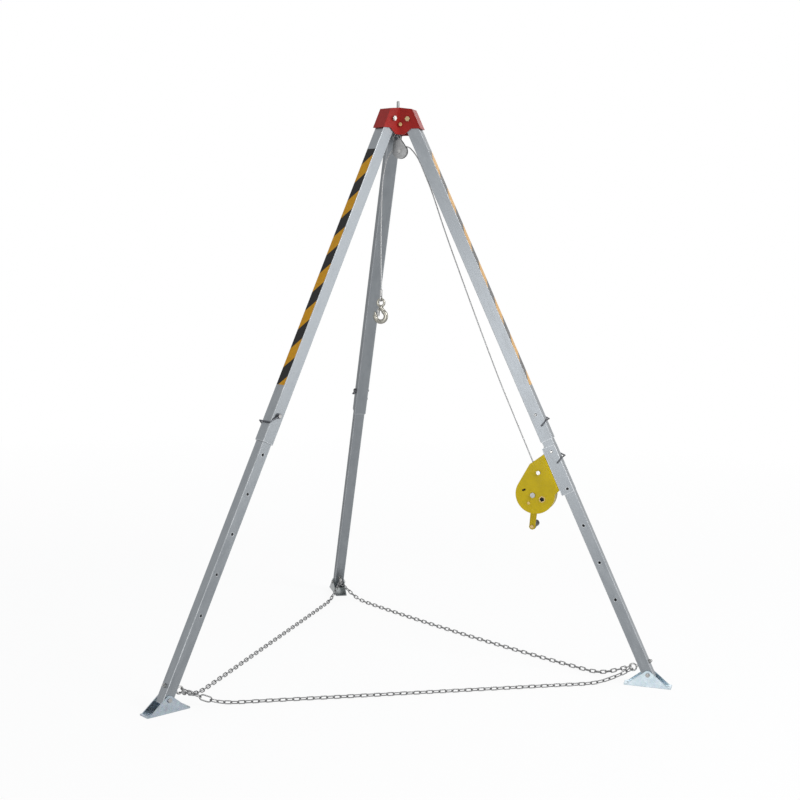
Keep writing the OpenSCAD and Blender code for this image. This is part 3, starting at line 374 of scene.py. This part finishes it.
class Graph(Nodes):
    """A material's node tree, with its Principled shader."""

    def __init__(self, name):
        self.material = bpy.data.materials.new(name)
        self.material.use_nodes = True
        super().__init__(self.material.node_tree)
        self.shader = self.add("ShaderNodeBsdfPrincipled")
        self.output = self.add("ShaderNodeOutputMaterial", {0: self.shader.outputs[0]})

    def set(self, **values):
        for key, value in values.items():
            self.put(self.shader, key.replace("_", " "), value)

    def coords(self):
        return self.add("ShaderNodeTexCoord").outputs["Object"]

    def vector_math(self, operation, a, b):
        return self.add("ShaderNodeVectorMath", {0: a, 1: b}, operation=operation).outputs

    def dot(self, a, b):
        return self.vector_math("DOT_PRODUCT", a, b)["Value"]

    def leg_coords(self, leg, along=1.0):
        """Object coordinates turned to a leg's axes, with the length along it scaled."""
        place = self.vector_math("SUBTRACT", self.coords(), leg.pivot)["Vector"]
        down = self.math("MULTIPLY", self.dot(place, -leg.up), along)
        inputs = {"X": self.dot(place, leg.out), "Y": self.dot(place, leg.across), "Z": down}
        return self.add("ShaderNodeCombineXYZ", inputs).outputs["Vector"]

    def noise(self, vector, scale, detail=4.0, roughness=0.55):
        inputs = {"Vector": vector, "Scale": scale, "Detail": detail, "Roughness": roughness}
        return self.add("ShaderNodeTexNoise", inputs).outputs[0]

    def spangle(self, vector, scale):
        return self.add("ShaderNodeTexVoronoi", {"Vector": vector, "Scale": scale}).outputs["Color"]

    def span(self, value, low, high, to_low=0.0, to_high=1.0):
        inputs = {"Value": value, "From Min": low, "From Max": high, "To Min": to_low, "To Max": to_high}
        return self.add("ShaderNodeMapRange", inputs, clamp=True).outputs["Result"]

    def mix(self, factor, a, b, blend="MIX"):
        node = self.add("ShaderNodeMix", {MIX_FACTOR: factor}, data_type="RGBA", blend_type=blend)
        for socket, colour in zip(MIX_COLOURS, (a, b)):
            linked = isinstance(colour, bpy.types.NodeSocket)
            self.put(node, socket, colour if linked else (*colour, 1.0))
        return node.outputs[MIX_RESULT]

    def rounded(self, radius):
        return self.add("ShaderNodeBevel", {"Radius": radius}, samples=BEVEL_SAMPLES).outputs["Normal"]

    def edge(self, radius):
        """1 on edges, 0 on flat faces: the mask for chipped paint and for the painted highlights and painted edge
        shade on the metals.
        """
        true = self.add("ShaderNodeNewGeometry").outputs["True Normal"]
        return self.span(self.dot(self.rounded(radius), true), EDGE_FLAT, EDGE_FULL)

    def bump(self, height, strength, distance, normal=None):
        inputs = {"Height": height, "Strength": strength, "Distance": distance}
        if normal is not None:
            inputs["Normal"] = normal
        return self.add("ShaderNodeBump", inputs).outputs["Normal"]


def aluminium(name, leg, rim):
    """Extruded tube: fine draw lines along the leg, faint handling marks and corners brightened by a painted
    highlight that is partly rubbed wear.
    """
    dull = (0.222, 0.240, 0.258)
    clean = (0.270, 0.290, 0.308)
    drawn = (0.325, 0.342, 0.355)
    # Corner colour: a painted highlight along the tube's corners, partly rubbed wear
    rubbed = (0.80, 0.82, 0.84)
    g = Graph(name)
    lines = g.noise(g.leg_coords(leg, along=0.012), 1400, detail=3.0, roughness=0.6)
    marks = g.noise(g.leg_coords(leg, along=0.35), 38, detail=6.0, roughness=0.62)
    tone = g.mix(g.span(marks, 0.35, 0.7), dull, clean)
    tone = g.mix(g.span(lines, 0.3, 0.75, 0.0, 0.25), tone, drawn)
    # Painted highlight on the corners, partly rubbed wear, patchy with the handling marks
    rubbed_and_highlit = g.math("MULTIPLY", g.edge(0.004), g.span(marks, 0.4, 0.65, 0.55, 0.95))
    g.set(
        Base_Color=g.mix(rubbed_and_highlit, tone, rubbed),
        Metallic=0.92,
        Roughness=g.math("ADD", g.span(lines, 0.3, 0.7, 0.33, 0.39), g.span(marks, 0.45, 0.8, 0.0, 0.10)),
        Anisotropic=0.35,
        Specular_Tint=(rim, rim, rim, 1.0),
        Normal=g.bump(lines, 0.012, 0.0002, g.rounded(0.0009)),
    )
    return g.material


def paint(name, colour, dark, bare, wear):
    """Glossy enamel over steel, with orange peel, slight shade drift and chips on the edges."""
    g = Graph(name)
    place = g.coords()
    drift = g.noise(place, 14)
    chips = g.noise(place, 420, detail=6.0, roughness=0.7)
    peel = g.noise(place, 650, detail=2.0)
    chipped = g.math("MULTIPLY", g.edge(0.0012), g.span(chips, wear, wear + 0.08))
    tone = g.mix(g.span(drift, 0.3, 0.7), dark, colour)
    g.set(
        Base_Color=g.mix(chipped, tone, bare),
        Roughness=g.span(drift, 0.3, 0.7, 0.30, 0.40),
        Specular_IOR_Level=0.11,
        Coat_Weight=0.06,
        Coat_Roughness=0.10,
        Normal=g.bump(peel, 0.06, 0.0004, g.rounded(0.0022)),
    )
    return g.material


def zinc(name, dull, bright, edge_shade):
    """Zinc plate, with spangle, a blue cast, small scuffs and painted shade on its edges."""
    scuffed = (0.42, 0.44, 0.46)
    g = Graph(name)
    place = g.coords()
    cloud = g.noise(place, 45, detail=5.0)
    scuff = g.noise(place, 900, roughness=0.7)
    tone = g.mix(g.span(cloud, 0.35, 0.7), dull, bright)
    tone = g.mix(0.10, tone, g.spangle(place, 170), "SOFT_LIGHT")
    # Painted shade: the sheet's edges darkened as if in shadow
    tone = g.mix(g.math("MULTIPLY", g.edge(0.003), 0.85), tone, edge_shade)
    g.set(
        Base_Color=g.mix(g.span(scuff, 0.62, 0.75, 0.0, 0.4), tone, scuffed),
        Metallic=0.95,
        Roughness=g.span(cloud, 0.3, 0.75, 0.24, 0.42),
        Normal=g.bump(scuff, 0.06, 0.0002, g.rounded(0.0008)),
    )
    return g.material


def steel(name, colour, rough, scratch_scale, other=None, rim=0.5):
    """Plated or bare steel: cloudy tone, fine scratches and lit edges, and another tone past a plane."""
    dull = tuple(STEEL_DULL * c for c in colour)
    lit = tuple(min(STEEL_LIT * c, STEEL_LIT_MOST) for c in colour)
    g = Graph(name)
    place = g.coords()
    cloud = g.noise(place, 90, detail=5.0)
    scratches = g.noise(place, scratch_scale, detail=3.0, roughness=0.7)
    tone = g.mix(g.span(cloud, 0.3, 0.7), dull, colour)
    if other is not None:
        axis, start, other_tone = other
        tone = g.mix(g.span(g.dot(place, axis), start, start + TONE_FADE), tone, other_tone)
    g.set(
        Base_Color=g.mix(g.math("MULTIPLY", g.edge(STEEL_EDGE), 0.6), tone, lit),
        Metallic=1.0,
        # Painted dark reflection: a rim below 1 darkens the metal where it is seen at a flat angle, in place of
        # dark surroundings reflected there
        Specular_Tint=(rim, rim, rim, 1.0),
        Roughness=g.span(scratches, 0.3, 0.75, rough - 0.06, rough + 0.10),
        Normal=g.bump(scratches, 0.07, 0.0002, g.rounded(0.0005)),
    )
    return g.material


def rope_steel(name):
    """Drawn wires of the rope: fine bright and dark streaks, and a little grease."""
    shaded = (0.24, 0.245, 0.25)
    bright = (0.58, 0.585, 0.59)
    greasy = (0.20, 0.19, 0.17)
    g = Graph(name)
    place = g.coords()
    wires = g.noise(place, 2600, detail=3.0, roughness=0.65)
    grease = g.noise(place, 60)
    tone = g.mix(g.span(wires, 0.3, 0.7), shaded, bright)
    g.set(
        Base_Color=g.mix(g.span(grease, 0.5, 0.75, 0.0, 0.35), tone, greasy),
        Metallic=0.95,
        Roughness=g.span(wires, 0.3, 0.7, 0.28, 0.45),
        Normal=g.bump(wires, 0.25, 0.0002),
    )
    return g.material


def plastic(name):
    """Moulded black plastic with a fine spark-eroded grain and a polished grip."""
    black = (0.010, 0.010, 0.011)
    rubbed = (0.024, 0.024, 0.025)
    g = Graph(name)
    place = g.coords()
    grain = g.noise(place, 1500, detail=3.0)
    rub = g.noise(place, 70)
    g.set(
        Base_Color=g.mix(g.span(rub, 0.4, 0.7), black, rubbed),
        Roughness=g.span(rub, 0.35, 0.7, 0.34, 0.50),
        Specular_IOR_Level=0.12,
        Normal=g.bump(grain, 0.12, 0.0002, g.rounded(0.001)),
    )
    return g.material


def tape(name, leg, phase, gloss):
    """Black and yellow warning film: slanting bands, small scratches and slight ripples."""
    dirty_yellow = (0.50, 0.235, 0.003)
    clean_yellow = (0.59, 0.285, 0.004)
    clean_black = (0.006, 0.006, 0.0065)
    dusty_black = (0.014, 0.0135, 0.013)
    scratched = (0.32, 0.31, 0.29)
    smoother = 0.4 * gloss
    g = Graph(name)
    place = g.leg_coords(leg)
    parts = g.add("ShaderNodeSeparateXYZ", {0: place}).outputs
    slant = g.math("ADD", parts["Y"], parts["Z"])
    run = g.math("DIVIDE", g.math("ADD", slant, phase - TAPE_BLACK_END + TAPE_PERIOD), TAPE_PERIOD)
    ragged = g.span(g.noise(place, 1200, detail=2.0), 0.0, 1.0, -0.004, 0.004)
    black_share = g.span(g.math("ADD", g.math("FRACT", run), ragged), 0.498, 0.502)
    dirt = g.noise(place, 55, detail=6.0, roughness=0.65)
    yellow = g.mix(g.span(dirt, 0.35, 0.7), dirty_yellow, clean_yellow)
    black = g.mix(g.span(dirt, 0.4, 0.75), clean_black, dusty_black)
    scratch = g.noise(g.leg_coords(leg, along=6.0), 240, roughness=0.7)
    tone = g.mix(black_share, yellow, black)
    g.set(
        Base_Color=g.mix(g.span(scratch, 0.70, 0.78, 0.0, 0.5), tone, scratched),
        Roughness=g.span(dirt, 0.3, 0.7, 0.46 - smoother, 0.60 - smoother),
        Specular_IOR_Level=gloss,
        Normal=g.bump(g.noise(place, 90, detail=3.0), 0.05, 0.001),
    )
    return g.material


# Where some bolts and rivets have another plating: a direction, a distance along it, and their colour
RIGHT_BOLT = ((1, 0, 0), 0.004, (0.42, 0.31, 0.17))
LOW_RIVETS = ((0, 0, -1), -DRUM.z, (0.37, 0.27, 0.11))

BRIGHT = steel("bright_steel", (0.46, 0.46, 0.455), rough=0.22, scratch_scale=1100)
GREY = steel("grey_steel", (0.34, 0.343, 0.345), rough=0.34, scratch_scale=900)
DARK = steel("dark_steel", (0.125, 0.130, 0.145), rough=0.28, scratch_scale=1000)
# Painted shade: the drum and ratchet inside the winch made near black, as they look in the winch's shadow
SHADED_INSIDE = steel("drum_painted_shade_steel", (0.022, 0.022, 0.024), rough=0.5, scratch_scale=900)
BRASS = steel("passivated_steel", (0.46, 0.33, 0.15), rough=0.30, scratch_scale=1000)
PIVOT = steel("pivot_steel", (0.60, 0.59, 0.57), rough=0.30, scratch_scale=1000, other=RIGHT_BOLT)
RIVET = steel("winch_bolts", (0.46, 0.455, 0.44), rough=0.26, scratch_scale=1000, other=LOW_RIVETS)
# The hook's very low rim paints dark reflections along its sides
HOOK = steel("hook_steel", (0.36, 0.35, 0.31), rough=0.14, scratch_scale=700, rim=0.05)
CHAIN = steel("galvanised_chain", (0.27, 0.272, 0.275), rough=0.34, scratch_scale=1300)
ROPE = rope_steel("wire_rope")
RED = paint(
    "red_enamel",
    colour=(0.33, 0.017, 0.014), dark=(0.25, 0.011, 0.009), bare=(0.16, 0.13, 0.12),
    wear=0.60,
)
YELLOW = paint(
    "yellow_enamel",
    colour=(0.53, 0.39, 0.004), dark=(0.44, 0.325, 0.003), bare=(0.20, 0.16, 0.08),
    wear=0.62,
)
BLACK = plastic("black_plastic")

# Slots whose material differs from leg to leg
LEG_MATERIAL = {
    # The feet share one zinc finish: these copies paint light and shade, pale for the lit right foot and darker
    # for the left and rear feet
    "zinc": {
        "left": zinc(
            "zinc_plate_left_painted_shade", dull=(0.35, 0.405, 0.455), bright=(0.45, 0.505, 0.56), edge_shade=(0.20, 0.23, 0.25)
        ),
        "right": zinc(
            "zinc_plate_right_painted_light", dull=(0.56, 0.66, 0.72), bright=(0.70, 0.79, 0.84), edge_shade=(0.10, 0.12, 0.13)
        ),
        "rear": zinc(
            "zinc_plate_rear_painted_shade", dull=(0.17, 0.19, 0.195), bright=(0.24, 0.265, 0.27), edge_shade=(0.10, 0.12, 0.13)
        ),
    },
    "leg_aluminium": {
        name: aluminium(f"leg_aluminium_{name}", leg, LEG_RIM[name]) for name, leg in LEGS.items()
    },
    "warning_tape": {
        name: tape(f"warning_tape_{name}", leg, TAPE_PHASE[name], TAPE_GLOSS[name])
        for name, leg in LEGS.items()
    },
}
NODE_MATERIAL = {
    "head_eyebolt": GREY,
    "head_nut": DARK,
    "saddle_bail": DARK,
    "pivot_bolts": PIVOT,
    "hub_screws": BRASS,
    "pulley_pin": DARK,
    "sheave_axle": BRIGHT,
    "winch_fasteners": RIVET,
    "knob_axle": BRASS,
    "drum_shaft": GREY,
    # Near black as painted shade inside the winch
    "drum": SHADED_INSIDE,
    "ratchet_wheel": SHADED_INSIDE,
    "hook": HOOK,
}
for leg_name in LEG_NAMES:
    NODE_MATERIAL[f"bail_{leg_name}"] = DARK
    NODE_MATERIAL[f"lock_pin_{leg_name}"] = GREY
SLOT_MATERIAL = {
    "red_paint": RED,
    "yellow_paint": YELLOW,
    "bright_steel": BRIGHT,
    "grey_steel": GREY,
    "wire_rope": ROPE,
    "chain_steel": CHAIN,
    "black_plastic": BLACK,
}


def node_material(name, slot):
    """A leg's material, or the node's own, or its slot's. A name without a leg is on the winch's leg."""
    if slot in LEG_MATERIAL:
        last_word = name.rsplit("_", 1)[-1]
        return LEG_MATERIAL[slot][last_word if last_word in LEGS else "right"]
    if name in NODE_MATERIAL:
        return NODE_MATERIAL[name]
    return SLOT_MATERIAL[slot]


def dress_nodes():
    for part in frame["record"]["subparts"]:
        mesh = NODES[part["node"]].data
        mesh.materials.clear()
        mesh.materials.append(node_material(part["node"], part["material_slot"]))


# Camera, light and floor

def build_camera():
    camera = bpy.data.objects.new("camera", bpy.data.cameras.new("camera"))
    bpy.context.scene.collection.objects.link(camera)
    camera.data.lens = CAMERA_LENS
    camera.data.sensor_width = SENSOR_WIDTH
    camera.data.clip_end = VIEW_REACH
    azimuth, pitch, roll = (math.radians(a) for a in (CAMERA_AZIMUTH, CAMERA_PITCH, CAMERA_ROLL))
    flat = math.cos(pitch)
    ahead = Vector((math.cos(azimuth) * flat, math.sin(azimuth) * flat, math.sin(pitch)))
    level = ahead.cross(UP).normalized()
    upright = level.cross(ahead)
    right = level * math.cos(roll) + upright * math.sin(roll)
    up = upright * math.cos(roll) - level * math.sin(roll)
    turn = Matrix((right, up, -ahead)).transposed().to_4x4()
    camera.matrix_world = Matrix.Translation(FLOOR_CENTRE + CAMERA_OFFSET) @ turn
    bpy.context.scene.camera = camera


def build_world():
    """White where the camera sees it, and a softer light on surfaces."""
    world = bpy.data.worlds.new("studio")
    world.use_nodes = True
    nodes = Nodes(world.node_tree)
    soft = nodes.add("ShaderNodeBackground", {"Color": WORLD_COLOUR, "Strength": WORLD_LIGHT})
    white = nodes.add("ShaderNodeBackground", {"Color": WHITE, "Strength": 1.0})
    seen = nodes.seen_rays()
    blend = nodes.add("ShaderNodeMixShader", {0: seen, 1: soft.outputs[0], 2: white.outputs[0]})
    nodes.add("ShaderNodeOutputWorld", {0: blend.outputs[0]})
    bpy.context.scene.world = world


def build_lamps():
    for name, (place, aim, size, power) in LAMPS.items():
        lamp = bpy.data.objects.new(name, bpy.data.lights.new(name, "AREA"))
        lamp.data.size = size
        lamp.data.energy = power
        lamp.location = place
        lamp.rotation_euler = (Vector(aim) - Vector(place)).to_track_quat("-Z", "Y").to_euler()
        bpy.context.scene.collection.objects.link(lamp)


def build_floor():
    """A pale floor that keeps some shadow near the feet and fades to the white of the world."""
    g = Graph("floor_white")
    g.set(Base_Color=g.mix(g.noise(g.coords(), FLOOR_GRAIN), *FLOOR_TONES), Roughness=0.9)
    glow = g.add("ShaderNodeEmission", {"Color": WHITE, "Strength": 1.0})
    far = g.vector_math("DISTANCE", g.coords(), FLOOR_CENTRE)["Value"]
    amount = g.math("MULTIPLY", g.seen_rays(), g.span(far, *FLOOR_FADE, FLOOR_WHITE, 1.0))
    blend = g.add("ShaderNodeMixShader", {0: amount, 1: g.shader.outputs[0], 2: glow.outputs[0]})
    g.put(g.output, 0, blend.outputs[0])
    signs = ((-1, -1), (1, -1), (1, 1), (-1, 1))
    corners = [(x * FLOOR_HALF, y * FLOOR_HALF, -FLOOR_DROP) for x, y in signs]
    make_piece("floor", corners, [(0, 1, 2, 3)], g.material)


# Wire rope

def on_sheave(angle):
    a = math.radians(angle)
    return SHEAVE + SHEAVE_R * (HOIST_OUT * math.cos(a) + UP * math.sin(a))


def build_winch_run():
    """The rope from the drum, up along the winch's leg, to the top of the sheave."""
    out_angle = math.radians(ROPE_OUT_ANGLE)
    away = HOIST_OUT * math.sin(out_angle) - UP * math.cos(out_angle)
    start = on_sheave(ROPE_OUT_ANGLE) + away * ROPE_BREAK
    drum_end = DRUM + WINCH_LEG.out * (ROPE_PACK_R + ROPE_D / 2 + PASS_GAP)
    run = [WINCH_LEG.at(-inside, 0, down) for down, inside in WINCH_ROPE]
    path = resample(spline([start, start + away * ROPE_D] + run + [drum_end]), ROPE_STEP)
    path.reverse()
    rope = rope_piece("rope_to_winch", path, WINCH_LEG.across)
    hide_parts("rope_winch_run")
    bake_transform(rope)


def build_hook_run():
    """The rope over the sheave and down to the ferrule above the hook."""
    low, high = (Vector(corner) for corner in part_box("rope_ferrule"))
    tail = Vector(((low.x + high.x) / 2, (low.y + high.y) / 2, high.z + PASS_GAP))
    turn = (ROPE_IN_ANGLE - ROPE_OUT_ANGLE) / WRAP_STEPS
    wrap = [on_sheave(ROPE_OUT_ANGLE + turn * i) for i in range(WRAP_STEPS + 1)]
    hanging = [AXIS + HOIST_OUT * out + UP * height for out, height in HOOK_ROPE]
    path = resample(spline(wrap + hanging + [tail + UP * 2 * ROPE_D, tail]), ROPE_STEP)
    rope = rope_piece("rope_to_hook", path, WINCH_LEG.across)
    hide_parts("rope_hook_run")
    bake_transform(rope)


def build_winding():
    """The outer layer of rope on the drum, over a grooved core that stands for the layers below."""
    across = WINCH_LEG.across
    out = WINCH_LEG.out
    up = across.cross(out)
    half = DRUM_HALF - DRUM_FLANGE_T - PASS_GAP
    radius = ROPE_PACK_R - ROPE_D / 2
    turns = math.floor((2 * (half - WINDING_MARGIN) - ROPE_D) / WINDING_PITCH)
    count = TURN_POINTS * turns

    def ring(r, angle, y):
        return DRUM + across * y + r * (out * math.cos(angle) + up * math.sin(angle))

    path = []
    for i in range(count + 1):
        path.append(ring(radius, 2 * math.pi * i * turns / count, (i / count - 0.5) * turns * WINDING_PITCH))
    winding = rope_piece("drum_winding", resample(path, ROPE_STEP), across)
    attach(winding, "winch_drum")
    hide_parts("drum_rope")

    profile = []
    for i in range(CORE_STEPS + 1):
        y = half * (2 * i / CORE_STEPS - 1)
        ridge = abs(math.cos(math.pi * y / WINDING_PITCH))
        profile.append((y, radius - ROPE_D / 2 - WINDING_MARGIN - ROPE_D / 2 * (1 - ridge)))
    profile += [(half, DRUM_CORE_R + PASS_GAP), (-half, DRUM_CORE_R + PASS_GAP)]
    vertices = []
    for y, r in profile:
        vertices += [ring(r, 2 * math.pi * j / CORE_SIDES, y) for j in range(CORE_SIDES)]
    faces = ring_faces(len(profile), CORE_SIDES, closed=True, flip=True)
    core = make_piece("drum_rope_core", vertices, faces, ROPE)
    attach(core, "winch_drum")


# Chain

def ring_hold(leg, angle):
    """Where the chain hangs on a leg's ring: the angle is above the ring's innermost point."""
    a = math.radians(angle)
    return leg.at(RING_X - RING_R * math.cos(a), 0, leg.foot_s - RING_UP_LEG - RING_R * math.sin(a))


def chain_route(a, b, bow):
    """Points of a run: down from one ring, along the floor and up to the other ring."""
    floor = (LINK_W - CHAIN_WIRE) / 2 * math.cos(math.radians(CHAIN_TWIST)) + CHAIN_WIRE / 2 + PASS_GAP
    across = Vector((b.x - a.x, b.y - a.y, 0))
    span = across.length
    along = across / span
    out = Vector((along.y, -along.x, 0))

    def spot(end, sign, distance, aside, share):
        level = Vector((end.x, end.y, floor + share * (end.z - floor)))
        inwards = 4 * bow * distance / span * (1 - distance / span)
        return level + along * distance * sign + out * (aside - inwards)

    start = [spot(a, 1, *part) for part in CHAIN_END]
    middle = [spot(a, 1, tenth / 10 * span, 0, 0) for tenth in MIDDLE_TENTHS]
    return start + middle + [spot(b, -1, *part) for part in reversed(CHAIN_END)]


def link_place(route, reach, distance, pitch, roll):
    """Turns and moves a link to a distance along the route, rolled about it by an angle in degrees."""
    centre = point_at(route, reach, distance)
    ahead = point_at(route, reach, distance + pitch / 2) - point_at(route, reach, distance - pitch / 2)
    heading = Matrix.Rotation(math.atan2(ahead.y, ahead.x), 4, "Z")
    climb = Matrix.Rotation(-math.asin(ahead.z / ahead.length), 4, "Y")
    return Matrix.Translation(centre) @ (heading @ climb @ Matrix.Rotation(math.radians(roll), 4, "X"))


def quick_room(i, extra):
    """Length that the quick link adds to the run before the middle of link i."""
    if i == QUICK_INDEX:
        return extra / 2
    return extra if i > QUICK_INDEX else 0.0


def build_chain(node, first, last, quick):
    """A run of links between two legs, in pieces: the middle ones go with their leg, those by the rings stay in
    place.
    """
    a = ring_hold(LEGS[first], RING_GRIP)
    b = ring_hold(LEGS[last], -RING_GRIP)
    route = chain_route(a, b, CHAIN_BOW[node])
    reach = lengths_along(route)
    length = reach[-1]
    extra = QUICK_IN_LEN - CHAIN_PITCH if quick else 0.0
    count = 2 * math.floor((length - extra) / (2 * CHAIN_PITCH)) + 1
    pitch = (length - extra - LINK_PLAY + HOLD_UP + HOLD_DOWN) / count
    in_len = pitch + LINK_PLAY
    split = length / 2 * CHAIN_SLIDE_SHARE

    shapes = [link_shape(in_len, LINK_W - 2 * CHAIN_WIRE, CHAIN_WIRE)] * count
    shapes[0] = shapes[-1] = link_shape(in_len, END_IN_W, CHAIN_WIRE)
    if quick:
        shapes[QUICK_INDEX] = link_shape(QUICK_IN_LEN + LINK_PLAY, QUICK_IN_W, QUICK_WIRE)

    groups = {}
    for i, (shape, sides) in enumerate(shapes):
        distance = in_len / 2 - HOLD_UP + i * pitch + quick_room(i, extra)
        twist = CHAIN_TWIST * min(1, i / CHAIN_TWIST_LINKS, (count - 1 - i) / CHAIN_TWIST_LINKS)
        place = link_place(route, reach, distance, pitch, 90 * (i % 2) + twist)
        end = first if distance < length / 2 else last
        part = "ring" if min(distance, length - distance) < split else "middle"
        vertices, faces = groups.setdefault((end, part), ([], []))
        base = len(vertices)
        vertices += [place @ v for v in shape]
        faces += [tuple(k + base for k in face) for face in sides]

    for (end, part), (vertices, faces) in groups.items():
        piece = make_piece(f"{node}_{end}_{part}", vertices, faces, CHAIN)
        if part == "ring":
            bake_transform(piece)
        else:
            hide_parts(node)
            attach(piece, f"leg_{end}")
            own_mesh(piece)


build_camera()
build_world()
build_lamps()
build_floor()
build_winch_run()
build_hook_run()
build_winding()
build_chain("chain_front", "left", "right", quick=True)
build_chain("chain_rear", "right", "rear", quick=False)
build_chain("chain_left", "rear", "left", quick=False)
dress_nodes()
bpy.context.scene.view_settings.view_transform = "Standard"
